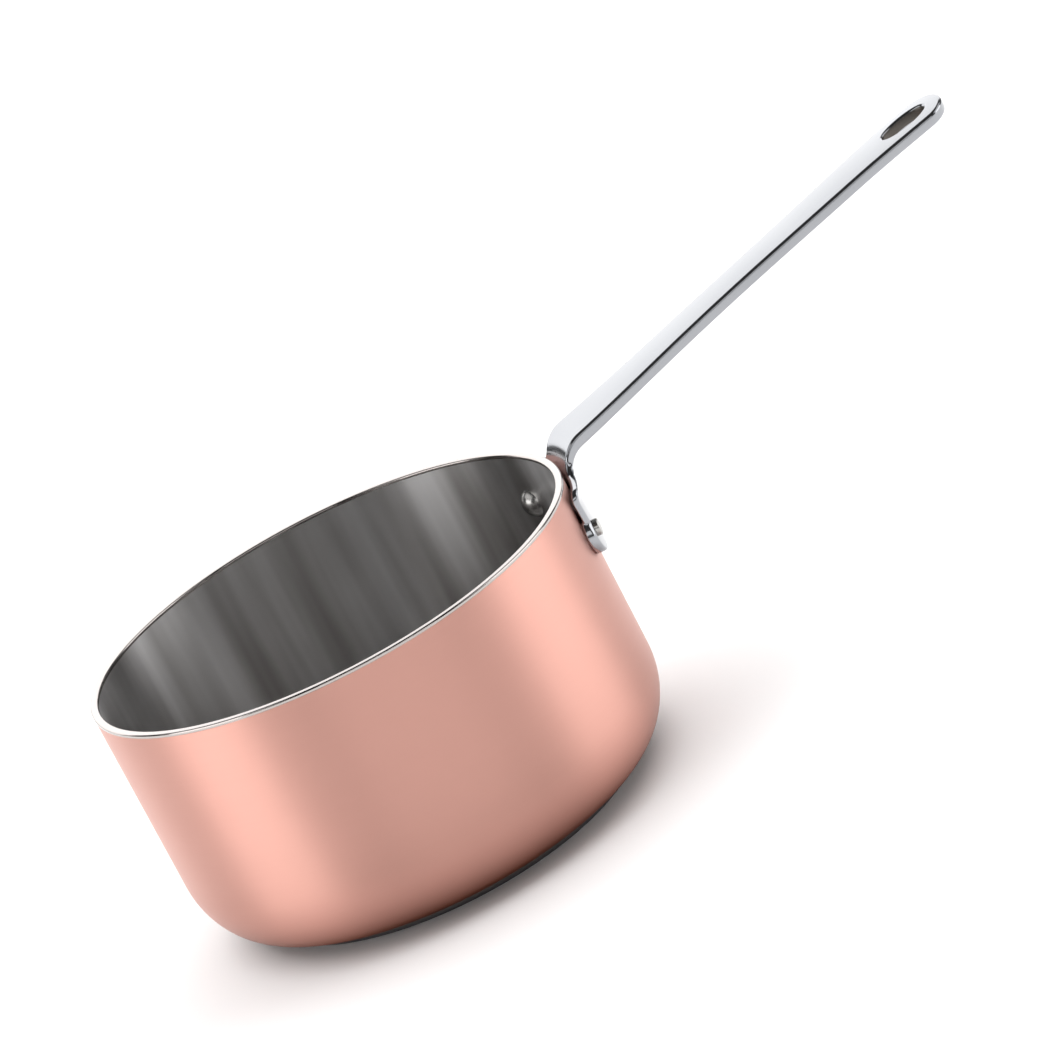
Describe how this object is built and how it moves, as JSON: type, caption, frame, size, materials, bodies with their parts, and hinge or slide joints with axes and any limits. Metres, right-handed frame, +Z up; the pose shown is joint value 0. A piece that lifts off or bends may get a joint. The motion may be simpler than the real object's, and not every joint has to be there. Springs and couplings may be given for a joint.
{
  "type": "saucepan",
  "caption": "Straight-sided copper saucepan with a steel lining, magnetic base disc and a long riveted strap handle.",
  "frame": {"origin": "centre of the flat underside of the base disc", "axes": "+Z up along the pan's axis, +X out along the handle, +Y across the handle"},
  "size_m": [0.3302, 0.1652, 0.131],
  "materials": {
    "copper": "satin",
    "lining_steel": "brushed",
    "core": "plain",
    "disc_steel": "satin",
    "polished_steel": "polished"
  },
  "bodies": {
    "root": {"copper_shell": "copper", "aluminium_core": "core", "steel_liner": "lining_steel", "base_disc": "disc_steel", "handle": "polished_steel", "rivet_left": "polished_steel", "rivet_right": "polished_steel"}
  },
  "joints": []
}
